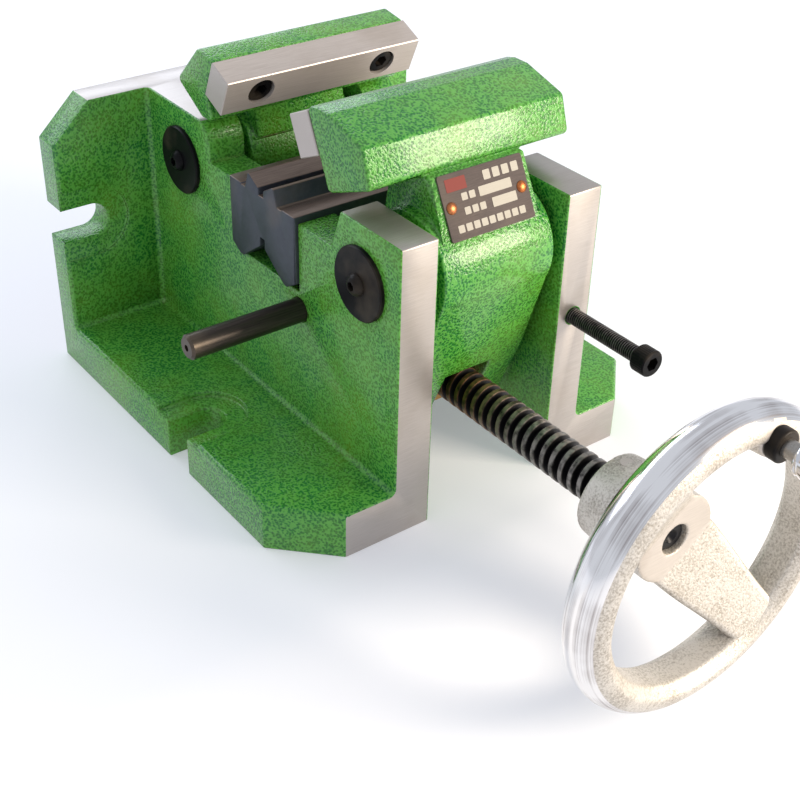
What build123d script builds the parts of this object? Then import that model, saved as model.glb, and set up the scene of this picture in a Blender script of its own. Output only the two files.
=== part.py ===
"""Shaft vise: two levered jaws close over a V-block, driven by one left- and right-hand screw.

Frame: X runs along the jaws, -Y points at the handwheel, +Z is up.  The origin is on the
underside of the body, on the plane of symmetry of the V-block.  All lengths are millimetres.
"""

import os
from math import cos, radians, sin

from build123d import *

os.makedirs("parts", exist_ok=True)

# ---------------------------------------------------------------- driving dimensions
# Body casting
base_half_width = 110.0
base_corner = 27.0
base_thickness = 24.0
front_y = -105.0
back_y = 127.0
back_thickness = 17.5
body_height = 148.5
back_corner_run = 21.0
back_corner_drop = 20.0
cheek_inner = 36.0
cheek_outer = 56.0
casting_fillet = 3.0
edge_round = 2.0
notch_round = 11.0

# Fixing slots, open at the sides of the base and of the back plate
slot_radius = 9.0
slot_end_x = 92.8
slot_seat_radius = 19.5
base_seat_depth = 3.0
back_seat_depth = 1.5
back_slot_z = 83.5

# V-block and the seat that the cheeks make for it
block_half_width = 28.0
block_half_length = 58.0
block_floor_z = 93.5
block_land_z = 132.0
block_peak_z = 139.5
seat_clearance = 0.05
ledge_z = 129.0

# Jaw pivots
pivot_y = 77.2
pivot_z = 121.0
shaft_radius = 11.0
running_clearance = 0.05
bush_radius = 14.0
bush_length = 22.0
disc_radius = 17.4
disc_thickness = 2.2

# Jaw levers
barrel_radius = 27.0
lever_half_width = 31.0
neck_half_width = 26.5
head_half_length = 55.0
crown_round = 3.0
plate_half_length = 55.4
plate_thickness = 15.3
plate_height = 19.8
plate_screw_x = 35.0

plate_screw_depth = 14.0
plate_sink = 9.0
arm_bottom_z = 31.0

# Maker's plate on the neck of the front lever
name_width = 46.8
name_length = 29.0
name_thickness = 1.0
name_centre_up = 17.4
rivet_x = 19.5
rivet_shank_radius = 1.5
rivet_head_radius = 2.7
rivet_head_height = 1.4

# Lead screw, nuts and their trunnions
screw_z = 50.0
screw_radius = 10.0
nut_y = 62.0
nut_half_width = 16.5
nut_half_height = 14.0
nut_outer_reach = 8.0
nut_inner_reach = 18.0
trunnion_radius = 8.0
trunnion_reach = 30.0
fork_slack = 0.5
slot_top_z = 53.0
fork_half_gap = 17.2
fork_lean = 3.0
window_half_width = 13.2
window_top_z = 61.5
pocket_top_z = 70.0
pocket_outer_y = 74.2
pocket_inner_y = 40.0
shaft_end_y = -219.0
screw_end_y = 96.0
relief_inner = 22.0
relief_outer = 26.0
relief_radius = 8.0
web_half_thickness = 11.0
bearing_radius = 15.0
collar_radius = 17.0
collar_width = 10.0
collar_gap = 0.1
grub_radius = 2.5

# Handwheel and handle
wheel_plane_y = -236.5
rim_outer = 72.3
rim_shoulder = 61.0
rim_inner = 56.5
rim_half_depth = 11.0
rim_flat_half = 6.5
hub_radius = 21.0
hub_rear_y = -183.5
hub_front_y = -221.5
journal_radius = 7.0
spoke_angle = 126.5
spoke_root_half = 18.0
spoke_tip_half = 12.5
spoke_tip_radius = 61.5
spoke_tip_y = -240.5
spoke_thickness = 10.0
handle_angle = 73.0
handle_radius = 60.0
boss_radius = 8.5
boss_face_y = -246.0
pin_y = -190.0
pin_radius = 3.0
stud_radius = 4.0
stud_root_y = -232.0
lock_radius = 7.3
lock_width = 6.0
grip_start_y = -258.0
grip_length = 72.0
grip_neck_radius = 6.5
grip_radius = 12.5
grip_end_radius = 9.5
axle_radius = 5.0
axle_end_y = -322.0
axle_head_radius = 6.5

# Stop rod and its clamp screw
rod_y = -28.3
rod_z = 84.5
rod_radius = 6.0
rod_tip_x = -116.0
rod_end_x = 52.0
clamp_x = 46.0
clamp_head_y = -149.0
clamp_length = 110.0

# M8 socket head screw
m8_radius = 4.0
m8_head_radius = 6.5
m8_head_height = 8.0
m8_socket_across = 6.0
m8_socket_depth = 4.0
tap_clearance = 0.05

# M6 button head screw
m6_radius = 3.0
m6_head_radius = 5.25
m6_head_height = 3.3
m6_socket_across = 4.0
m6_socket_depth = 2.0

handle_x = handle_radius * cos(radians(handle_angle))
handle_z = screw_z + handle_radius * sin(radians(handle_angle))
back_front_y = back_y - back_thickness
front_half_width = base_half_width - base_corner
channel_length = back_front_y - front_y
collar_middle_y = web_half_thickness + collar_gap + collar_width / 2


# ---------------------------------------------------------------- repeated shapes
def socket_screw(radius, head_radius, head_height, length, across, depth):
    """Socket head screw that points down -Z, with its head standing on the XY plane."""
    with BuildPart() as screw:
        Cylinder(head_radius, head_height, align=(Align.CENTER, Align.CENTER, Align.MIN))
        chamfer(screw.edges().group_by(Axis.Z)[-1], head_radius * 0.08)
        Cylinder(radius, length, align=(Align.CENTER, Align.CENTER, Align.MAX))
        chamfer(screw.edges().group_by(Axis.Z)[0], radius * 0.15)
        with BuildSketch(Plane.XY.offset(head_height)):
            RegularPolygon(across / 2, 6, major_radius=False)
        extrude(amount=-depth, mode=Mode.SUBTRACT)
    return screw.part


def m6_button_screw(length):
    """Black M6 button head screw that points down -Z, with its domed head on the XY plane."""
    with BuildPart() as screw:
        with BuildSketch(Plane.XZ):
            with BuildLine():
                Polyline((0, m6_head_height), (0, 0), (m6_head_radius, 0), (m6_head_radius, 0.4))
                ThreePointArc(
                    (m6_head_radius, 0.4),
                    (0.82 * m6_head_radius, 0.68 * m6_head_height),
                    (0.52 * m6_head_radius, m6_head_height),
                )
                Line((0.52 * m6_head_radius, m6_head_height), (0, m6_head_height))
            make_face()
        revolve(axis=Axis.Z)
        Cylinder(m6_radius, length, align=(Align.CENTER, Align.CENTER, Align.MAX))
        chamfer(screw.edges().group_by(Axis.Z)[0], 0.5)
        with BuildSketch(Plane.XY.offset(m6_head_height)):
            RegularPolygon(m6_socket_across / 2, 6, major_radius=False)
        extrude(amount=-m6_socket_depth, mode=Mode.SUBTRACT)
    return screw.part


def m8_screw(length):
    """Black M8 socket head cap screw."""
    return socket_screw(
        m8_radius, m8_head_radius, m8_head_height, length, m8_socket_across, m8_socket_depth
    )


def open_slot(radius, end_x, reach_x):
    """Face of a slot that ends in an arc at end_x and is open at reach_x."""
    with BuildSketch() as slot:
        with Locations((end_x, 0)):
            Circle(radius)
        with Locations(((end_x + reach_x) / 2, 0)):
            Rectangle(reach_x - end_x, 2 * radius)
    return slot.sketch


def plate_plane(side, ridge, tilt):
    """Plane on a jaw plate's clamping face: x along the jaw, y down the face from its ridge.

    side is -1 for the front jaw and +1 for the rear one.  The normal points out of the face,
    towards the work, and tilt degrees below the horizontal.
    """
    lean = radians(tilt)
    normal = (0, -side * cos(lean), -sin(lean))
    return Plane(origin=(0, ridge[0], ridge[1]), x_dir=(-side, 0, 0), z_dir=normal)


# ---------------------------------------------------------------- body casting
with BuildPart() as body_casting:
    # Base flange with its two front corners cut off
    with BuildSketch():
        with BuildLine():
            Polyline(
                (-front_half_width, front_y),
                (front_half_width, front_y),
                (base_half_width, front_y + base_corner),
                (base_half_width, back_y),
                (-base_half_width, back_y),
                (-base_half_width, front_y + base_corner),
                close=True,
            )
        make_face()
    extrude(amount=base_thickness)
    # Upright back plate
    with BuildSketch(Plane.XZ.offset(-back_y)):
        with BuildLine():
            Polyline(
                (-base_half_width, 0),
                (base_half_width, 0),
                (base_half_width, body_height - back_corner_drop),
                (base_half_width - back_corner_run, body_height),
                (back_corner_run - base_half_width, body_height),
                (-base_half_width, body_height - back_corner_drop),
                close=True,
            )
        make_face()
    extrude(amount=back_thickness)
    # Two cheeks, each notched for the V-block and for the swing of the jaw heads
    with BuildSketch(Plane.YZ.offset(cheek_inner)):
        with BuildLine():
            Polyline(
                (front_y, 0),
                (front_y, body_height),
                (-61.5, body_height),
                (-54.5, ledge_z),
                (49.5, ledge_z),
                (49.5, body_height),
                (back_front_y, body_height),
                (back_front_y, 0),
                close=True,
            )
        make_face()
        fillet(vertices().sort_by_distance((49.5, body_height, 0))[0], notch_round)
    extrude(amount=cheek_outer - cheek_inner)
    mirror(about=Plane.YZ)
    # Rounded inside corners where the walls meet
    outer_wall = edges().filter_by(lambda e: abs(abs(e.center().X) - cheek_outer) < 0.01)
    along_base = outer_wall.filter_by(Axis.Y).filter_by(
        lambda e: abs(e.center().Z - base_thickness) < 0.01
    )
    along_back = outer_wall.filter_by(Axis.Z).filter_by(
        lambda e: abs(e.center().Y - back_front_y) < 0.01
    )
    back_foot = edges().filter_by(Axis.X).filter_by(
        lambda e: abs(e.center().Y - back_front_y) < 0.01
        and abs(e.center().Z - base_thickness) < 0.01
        and abs(e.center().X) > cheek_outer
    )
    fillet(along_base + along_back + back_foot, casting_fillet)
    # Broken outer edges of the base and of the back plate
    base_rim = edges().filter_by(
        lambda e: abs(e.center().Z - base_thickness) < 0.01
        and abs(e.center().X) > front_half_width
        and e.center().Y < back_front_y - casting_fillet
        and e.center().Y > front_y + 1
    )
    fillet(base_rim, edge_round)
    # Channel through the base, between the cheeks, and the web that carries the screw
    with Locations((0, (front_y + back_front_y) / 2, 0)):
        Box(
            2 * cheek_inner,
            channel_length,
            base_thickness,
            align=(Align.CENTER, Align.CENTER, Align.MIN),
            mode=Mode.SUBTRACT,
        )
    Box(
        2 * cheek_inner,
        2 * web_half_thickness,
        block_floor_z - 10,
        align=(Align.CENTER, Align.CENTER, Align.MIN),
    )
    # Seat of the V-block
    with Locations((0, 0, block_floor_z)):
        Box(
            2 * cheek_outer,
            2 * (block_half_width + seat_clearance),
            body_height - block_floor_z,
            align=(Align.CENTER, Align.CENTER, Align.MIN),
            mode=Mode.SUBTRACT,
        )
    # Bores across the cheeks: jaw pivots and stop rod
    with Locations(Plane.YZ):
        with Locations((-pivot_y, pivot_z), (pivot_y, pivot_z)):
            Hole(shaft_radius + running_clearance)
        with Locations((rod_y, rod_z)):
            Hole(rod_radius + running_clearance)
    # Screw bearing in the web, and the long tapped hole of the rod's clamp screw
    with Locations(Plane.XZ.offset(web_half_thickness)):
        with Locations((0, screw_z)):
            Hole(bearing_radius, depth=2 * web_half_thickness)
    with Locations(Plane.XZ.offset(-front_y)):
        with Locations((clamp_x, rod_z)):
            Hole(m8_radius + tap_clearance, depth=rod_y - front_y)
    # Fixing slots, each in its shallow seat
    for plane in (Plane.XY, Plane.XY.rotated((0, 0, 180))):
        add(
            extrude(
                plane * open_slot(slot_radius, slot_end_x, base_half_width + 5),
                amount=base_thickness,
                mode=Mode.PRIVATE,
            ),
            mode=Mode.SUBTRACT,
        )
        add(
            extrude(
                plane.offset(base_thickness - base_seat_depth)
                * open_slot(slot_seat_radius, slot_end_x, base_half_width + 5),
                amount=base_seat_depth + 1,
                mode=Mode.PRIVATE,
            ),
            mode=Mode.SUBTRACT,
        )
    for direction in (1, -1):
        back_plane = Plane(
            origin=(0, back_y, back_slot_z), x_dir=(direction, 0, 0), z_dir=(0, -1, 0)
        )
        add(
            extrude(
                back_plane * open_slot(slot_radius, slot_end_x, base_half_width + 5),
                amount=back_thickness,
                mode=Mode.PRIVATE,
            ),
            mode=Mode.SUBTRACT,
        )
        add(
            extrude(
                back_plane.offset(back_thickness - back_seat_depth)
                * open_slot(slot_seat_radius, slot_end_x, base_half_width + 5),
                amount=back_seat_depth + 1,
                mode=Mode.PRIVATE,
            ),
            mode=Mode.SUBTRACT,
        )
body_casting.part.label = "body_casting"
export_step(body_casting.part, "parts/body_casting.step")

# ---------------------------------------------------------------- reversible V-block
with BuildPart() as v_block:
    with BuildSketch(Plane.YZ.offset(-block_half_length)):
        with BuildLine():
            Polyline(
                (0, 110),
                (2, 110),
                (2, 105),
                (18, block_floor_z),
                (20.5, block_floor_z),
                (block_half_width, 98),
                (block_half_width, block_land_z),
                (17.5, block_land_z),
                (17.5, block_land_z - 0.8),
                (13.8, block_land_z - 0.8),
                (11, block_peak_z),
                (9.6, block_peak_z),
                (2.2, 135.2),
                (2.2, 131.5),
                (0, 131.5),
                close=True,
            )
        make_face()
        mirror(about=Plane.YZ)
    extrude(amount=2 * block_half_length)
    chamfer(edges().filter_by(Axis.Z).filter_by(lambda e: e.length > 20), 0.6)
v_block.part.label = "v_block"
export_step(v_block.part, "parts/v_block.step")


# ---------------------------------------------------------------- jaw pivots
def pivot_shaft(side):
    """Plain shaft across both cheeks, tapped M6 at each end."""
    with BuildPart() as shaft:
        with Locations(Plane.YZ.offset(-cheek_outer)):
            with Locations((side * pivot_y, pivot_z)):
                Cylinder(
                    shaft_radius, 2 * cheek_outer, align=(Align.CENTER, Align.CENTER, Align.MIN)
                )
        chamfer(shaft.edges().filter_by(GeomType.CIRCLE), 0.5)
        for end in (Plane.YZ.offset(cheek_outer), Plane.YZ.offset(-cheek_outer)):
            inward = -20 if end.origin.X > 0 else 20
            with BuildSketch(end):
                with Locations((side * pivot_y, pivot_z)):
                    Circle(m6_radius + tap_clearance)
            extrude(amount=inward, mode=Mode.SUBTRACT)
    return shaft.part


def retaining_discs(side):
    """Two thin discs that close the shaft's bore on the outer faces of the cheeks."""
    with BuildPart() as discs:
        for outward in (1, -1):
            face = Plane(
                origin=(outward * cheek_outer, side * pivot_y, pivot_z), z_dir=(outward, 0, 0)
            )
            with BuildSketch(face):
                Circle(disc_radius)
                Circle(m6_radius + 0.3, mode=Mode.SUBTRACT)
            extrude(amount=disc_thickness)
        rims = discs.edges().filter_by(GeomType.CIRCLE).filter_by(
            lambda e: e.radius > disc_radius - 0.1 and abs(e.center().X) > cheek_outer + 1
        )
        chamfer(rims, 0.6)
    return discs.part


def disc_screws(side):
    """Two M6 button head screws, one through each retaining disc into the shaft."""
    with BuildPart() as screws:
        for outward in (1, -1):
            seat = Plane(
                origin=(outward * (cheek_outer + disc_thickness), side * pivot_y, pivot_z),
                z_dir=(outward, 0, 0),
            )
            add(seat * m6_button_screw(16))
    return screws.part


def spacer_rings(side):
    """Two rings that centre the lever between the cheeks."""
    with BuildPart() as rings:
        for outward in (1, -1):
            start = Plane(
                origin=(outward * (lever_half_width + 0.1), side * pivot_y, pivot_z),
                z_dir=(outward, 0, 0),
            )
            with BuildSketch(start):
                Circle(bush_radius + 2)
                Circle(shaft_radius + running_clearance, mode=Mode.SUBTRACT)
            extrude(amount=cheek_inner - lever_half_width - 0.15)
    return rings.part


def pivot_bushes(side):
    """Two bronze bushes pressed into the ends of a lever's barrel."""
    with BuildPart() as bushes:
        for outward in (1, -1):
            end = Plane(
                origin=(outward * lever_half_width, side * pivot_y, pivot_z),
                z_dir=(-outward, 0, 0),
            )
            with BuildSketch(end):
                Circle(bush_radius - 0.01)
                Circle(shaft_radius + running_clearance, mode=Mode.SUBTRACT)
            extrude(amount=bush_length)
    return bushes.part


with BuildPart() as front_pivot_shaft:
    add(pivot_shaft(-1))
front_pivot_shaft.part.label = "front_pivot_shaft"
export_step(front_pivot_shaft.part, "parts/front_pivot_shaft.step")

with BuildPart() as rear_pivot_shaft:
    add(pivot_shaft(1))
rear_pivot_shaft.part.label = "rear_pivot_shaft"
export_step(rear_pivot_shaft.part, "parts/rear_pivot_shaft.step")

with BuildPart() as front_retaining_discs:
    add(retaining_discs(-1))
front_retaining_discs.part.label = "front_retaining_discs"
export_step(front_retaining_discs.part, "parts/front_retaining_discs.step")

with BuildPart() as rear_retaining_discs:
    add(retaining_discs(1))
rear_retaining_discs.part.label = "rear_retaining_discs"
export_step(rear_retaining_discs.part, "parts/rear_retaining_discs.step")

with BuildPart() as front_disc_screws:
    add(disc_screws(-1))
front_disc_screws.part.label = "front_disc_screws"
export_step(front_disc_screws.part, "parts/front_disc_screws.step")

with BuildPart() as rear_disc_screws:
    add(disc_screws(1))
rear_disc_screws.part.label = "rear_disc_screws"
export_step(rear_disc_screws.part, "parts/rear_disc_screws.step")

with BuildPart() as front_spacer_rings:
    add(spacer_rings(-1))
front_spacer_rings.part.label = "front_spacer_rings"
export_step(front_spacer_rings.part, "parts/front_spacer_rings.step")

with BuildPart() as rear_spacer_rings:
    add(spacer_rings(1))
rear_spacer_rings.part.label = "rear_spacer_rings"
export_step(rear_spacer_rings.part, "parts/rear_spacer_rings.step")

with BuildPart() as front_pivot_bushes:
    add(pivot_bushes(-1))
front_pivot_bushes.part.label = "front_pivot_bushes"
export_step(front_pivot_bushes.part, "parts/front_pivot_bushes.step")

with BuildPart() as rear_pivot_bushes:
    add(pivot_bushes(1))
rear_pivot_bushes.part.label = "rear_pivot_bushes"
export_step(rear_pivot_bushes.part, "parts/rear_pivot_bushes.step")


# ---------------------------------------------------------------- jaws
front_ridge = (-22.3, 179.0)
front_tilt = 25.0
front_crown = [
    (-37.2, 187.3),
    (-43.0, 188.8),
    (-51.5, 188.8),
    (-76.0, 182.2),
    (-81.7, 165.2),
    (-51.3, 152.6),
]
front_neck = [(-98.9, 136.3), (-84.0, 164.8), (-58.0, 164.8), (-52.0, 134.0)]

rear_ridge = (29.5, 175.4)
rear_tilt = 24.0
rear_crown = [(58.0, 183.8), (79.0, 163.0), (56.5, 150.2), (46.0, 151.0)]
rear_neck = [(96.0, 139.0), (75.0, 163.0), (56.0, 158.0), (52.0, 134.0)]


def plate_corner(side, ridge, tilt, depth, drop):
    """Point (y, z) of a jaw plate's section, depth behind the clamping face and drop below."""
    lean = radians(tilt)
    y = ridge[0] + side * (depth * cos(lean) + drop * sin(lean))
    z = ridge[1] + depth * sin(lean) - drop * cos(lean)
    return (y, z)


def jaw_lever(side, ridge, tilt, crown, neck):
    """Jaw lever: overhanging head, neck, pivot barrel, and a forked arm round the nut.

    crown lists the (y, z) corners of the head behind the jaw plate, from top to bottom, and
    neck those of the neck's section.
    """
    seat_top = plate_corner(side, ridge, tilt, plate_thickness, 0)
    seat_bottom = plate_corner(side, ridge, tilt, plate_thickness, plate_height)
    with BuildPart() as lever:
        # Head
        with BuildSketch(Plane.YZ.offset(-head_half_length)):
            with BuildLine():
                Polyline(seat_top, *crown, seat_bottom, close=True)
            make_face()
            for corner in crown:
                fillet(vertices().sort_by_distance((*corner, 0))[0], crown_round)
        extrude(amount=2 * head_half_length)
        # Neck
        with BuildSketch(Plane.YZ.offset(-neck_half_width)):
            with BuildLine():
                Polyline(*neck, close=True)
            make_face()
        extrude(amount=2 * neck_half_width)
        # Barrel and arm
        with BuildSketch(Plane.YZ.offset(-lever_half_width)):
            with Locations((side * pivot_y, pivot_z)):
                Circle(barrel_radius)
            with BuildLine():
                Polyline(
                    (side * 101.6, 110),
                    (side * 88.0, 66),
                    (side * 73.0, arm_bottom_z),
                    (side * 46.0, arm_bottom_z),
                    (side * 46.0, pocket_top_z),
                    (side * 51.5, 112),
                    close=True,
                )
            make_face()
        extrude(amount=2 * lever_half_width)
        # Bore of the barrel
        with Locations(Plane.YZ):
            with Locations((side * pivot_y, pivot_z)):
                Hole(bush_radius)
        # Pocket for the nut, and the window that lets the screw out of the arm
        with Locations((0, side * (pocket_outer_y + pocket_inner_y) / 2, 0)):
            Box(
                2 * fork_half_gap,
                pocket_outer_y - pocket_inner_y,
                pocket_top_z,
                align=(Align.CENTER, Align.CENTER, Align.MIN),
                mode=Mode.SUBTRACT,
            )
        with Locations((0, side * pocket_outer_y, 0)):
            Box(
                2 * window_half_width,
                2 * (pivot_y - nut_y + barrel_radius),
                window_top_z,
                align=(Align.CENTER, Align.CENTER, Align.MIN),
                mode=Mode.SUBTRACT,
            )
        # Trunnion slots, open at the bottom of the fork
        with BuildSketch(Plane.YZ.offset(-lever_half_width)):
            with Locations(Location((side * nut_y, slot_top_z, 0), (0, 0, -side * fork_lean))):
                Circle(trunnion_radius + fork_slack)
                Rectangle(
                    2 * (trunnion_radius + fork_slack), 40, align=(Align.CENTER, Align.MAX)
                )
        extrude(amount=2 * lever_half_width, mode=Mode.SUBTRACT)
        # Tapped holes for the two jaw plate screws
        with BuildSketch(plate_plane(side, ridge, tilt).offset(-plate_thickness)):
            with GridLocations(2 * plate_screw_x, 1, 2, 1):
                with Locations((0, plate_height / 2)):
                    Circle(m8_radius + tap_clearance)
        extrude(amount=-plate_screw_depth, mode=Mode.SUBTRACT)
    return lever.part


def jaw_plate(side, ridge, tilt):
    """Ground rectangular jaw plate with two counterbored screw holes."""
    face = plate_plane(side, ridge, tilt)
    with BuildPart() as plate:
        with BuildSketch(face):
            with Locations((0, plate_height / 2)):
                Rectangle(2 * plate_half_length, plate_height)
        extrude(amount=-plate_thickness)
        chamfer(plate.edges(), 0.4)
        with Locations(face):
            with Locations((-plate_screw_x, plate_height / 2), (plate_screw_x, plate_height / 2)):
                CounterBoreHole(m8_radius + 0.5, m8_head_radius + 0.6, plate_sink)
    return plate.part


def jaw_screws(side, ridge, tilt):
    """Two M8 screws sunk in a jaw plate."""
    seat = plate_plane(side, ridge, tilt).offset(-plate_sink)
    with BuildPart() as screws:
        for x in (-plate_screw_x, plate_screw_x):
            add(seat * Pos(x, plate_height / 2, 0) * m8_screw(20))
    return screws.part


with BuildPart() as front_jaw_lever:
    add(jaw_lever(-1, front_ridge, front_tilt, front_crown, front_neck))
front_jaw_lever.part.label = "front_jaw_lever"
export_step(front_jaw_lever.part, "parts/front_jaw_lever.step")

with BuildPart() as rear_jaw_lever:
    add(jaw_lever(1, rear_ridge, rear_tilt, rear_crown, rear_neck))
rear_jaw_lever.part.label = "rear_jaw_lever"
export_step(rear_jaw_lever.part, "parts/rear_jaw_lever.step")

with BuildPart() as front_jaw_plate:
    add(jaw_plate(-1, front_ridge, front_tilt))
front_jaw_plate.part.label = "front_jaw_plate"
export_step(front_jaw_plate.part, "parts/front_jaw_plate.step")

with BuildPart() as rear_jaw_plate:
    add(jaw_plate(1, rear_ridge, rear_tilt))
rear_jaw_plate.part.label = "rear_jaw_plate"
export_step(rear_jaw_plate.part, "parts/rear_jaw_plate.step")

with BuildPart() as front_jaw_screws:
    add(jaw_screws(-1, front_ridge, front_tilt))
front_jaw_screws.part.label = "front_jaw_screws"
export_step(front_jaw_screws.part, "parts/front_jaw_screws.step")

with BuildPart() as rear_jaw_screws:
    add(jaw_screws(1, rear_ridge, rear_tilt))
rear_jaw_screws.part.label = "rear_jaw_screws"
export_step(rear_jaw_screws.part, "parts/rear_jaw_screws.step")

# ---------------------------------------------------------------- maker's plate
neck_foot = Vector(0, *front_neck[0])
neck_top = Vector(0, *front_neck[1])
neck_slope = (neck_top - neck_foot).normalized()
name_face = Plane(
    origin=neck_foot + neck_slope * name_centre_up,
    x_dir=(1, 0, 0),
    z_dir=(0, -neck_slope.Z, neck_slope.Y),
)

with BuildPart() as nameplate:
    with BuildSketch(name_face):
        RectangleRounded(name_width, name_length, 1)
        with GridLocations(2 * rivet_x, 1, 2, 1):
            Circle(rivet_shank_radius, mode=Mode.SUBTRACT)
    extrude(amount=name_thickness)
nameplate.part.label = "nameplate"
export_step(nameplate.part, "parts/nameplate.step")

with BuildPart() as nameplate_rivets:
    with BuildSketch(name_face):
        with GridLocations(2 * rivet_x, 1, 2, 1):
            Circle(rivet_shank_radius)
    extrude(amount=name_thickness)
    with BuildSketch(name_face.offset(name_thickness)):
        with GridLocations(2 * rivet_x, 1, 2, 1):
            Circle(rivet_head_radius)
    extrude(amount=rivet_head_height)
    fillet(faces().sort_by(Axis(name_face.origin, name_face.z_dir))[-2:].edges(), 1.0)
nameplate_rivets.part.label = "nameplate_rivets"
export_step(nameplate_rivets.part, "parts/nameplate_rivets.step")

# ---------------------------------------------------------------- screw drive
with BuildPart() as lead_screw:
    for start, end, radius in (
        (shaft_end_y, hub_rear_y, journal_radius),
        (hub_rear_y, -relief_outer, screw_radius),
        (-relief_outer, -relief_inner, relief_radius),
        (-relief_inner, relief_inner, screw_radius),
        (relief_inner, relief_outer, relief_radius),
        (relief_outer, screw_end_y, screw_radius),
    ):
        with BuildSketch(Plane.XZ.offset(-start)):
            with Locations((0, screw_z)):
                Circle(radius)
        extrude(amount=start - end)
    chamfer(edges().filter_by(GeomType.CIRCLE).sort_by(Axis.Y)[0], 1)
    chamfer(edges().filter_by(GeomType.CIRCLE).sort_by(Axis.Y)[-1], 2)
    # Centre hole in the end that shows in the hub
    with BuildSketch(Plane.XZ.offset(-shaft_end_y)):
        with Locations((0, screw_z)):
            Circle(2)
    extrude(amount=-5, mode=Mode.SUBTRACT)
    # Cross hole for the wheel's pin
    with BuildSketch(Plane.XY):
        with Locations((0, pin_y)):
            Circle(pin_radius)
    extrude(amount=2 * screw_z, mode=Mode.SUBTRACT)
lead_screw.part.label = "lead_screw"
export_step(lead_screw.part, "parts/lead_screw.step")


def screw_nut(side):
    """Bronze nut block with two trunnions that ride in the fork of a lever."""
    with BuildPart() as nut:
        length = nut_outer_reach + nut_inner_reach
        middle = side * (nut_y + (nut_outer_reach - nut_inner_reach) / 2)
        with Locations((0, middle, screw_z)):
            Box(2 * nut_half_width, length, 2 * nut_half_height)
        chamfer(edges().filter_by(Axis.X), 1.5)
        with BuildSketch(Plane.YZ.offset(-trunnion_reach)):
            with Locations((side * nut_y, screw_z)):
                Circle(trunnion_radius - 0.02)
        extrude(amount=2 * trunnion_reach)
        with Locations(Plane.XZ):
            with Locations((0, screw_z)):
                Hole(screw_radius + running_clearance)
    return nut.part


with BuildPart() as front_nut:
    add(screw_nut(-1))
front_nut.part.label = "front_nut"
export_step(front_nut.part, "parts/front_nut.step")

with BuildPart() as rear_nut:
    add(screw_nut(1))
rear_nut.part.label = "rear_nut"
export_step(rear_nut.part, "parts/rear_nut.step")

with BuildPart() as centre_bush:
    with BuildSketch(Plane.XZ.offset(-web_half_thickness)):
        with Locations((0, screw_z)):
            Circle(bearing_radius - 0.01)
            Circle(screw_radius + running_clearance, mode=Mode.SUBTRACT)
    extrude(amount=2 * web_half_thickness)
centre_bush.part.label = "centre_bush"
export_step(centre_bush.part, "parts/centre_bush.step")

with BuildPart() as thrust_collars:
    for side in (-1, 1):
        inner_face = Plane(
            origin=(0, side * (web_half_thickness + collar_gap), screw_z), z_dir=(0, side, 0)
        )
        with BuildSketch(inner_face):
            Circle(collar_radius)
            Circle(screw_radius, mode=Mode.SUBTRACT)
        extrude(amount=collar_width)
    with BuildSketch(Plane.XY.offset(screw_z)):
        with GridLocations(1, 2 * collar_middle_y, 1, 2):
            Circle(grub_radius)
    extrude(amount=collar_radius + 1, mode=Mode.SUBTRACT)
thrust_collars.part.label = "thrust_collars"
export_step(thrust_collars.part, "parts/thrust_collars.step")

with BuildPart() as collar_set_screws:
    with BuildSketch(Plane.XY.offset(screw_z + screw_radius)):
        with GridLocations(1, 2 * collar_middle_y, 1, 2):
            Circle(grub_radius)
    extrude(amount=collar_radius - screw_radius - 0.5)
    with BuildSketch(Plane.XY.offset(screw_z + collar_radius - 0.5)):
        with GridLocations(1, 2 * collar_middle_y, 1, 2):
            RegularPolygon(1.25, 6, major_radius=False)
    extrude(amount=-3, mode=Mode.SUBTRACT)
collar_set_screws.part.label = "collar_set_screws"
export_step(collar_set_screws.part, "parts/collar_set_screws.step")

# ---------------------------------------------------------------- handwheel
wheel_axis = Axis((0, 0, screw_z), (0, 1, 0))

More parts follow.
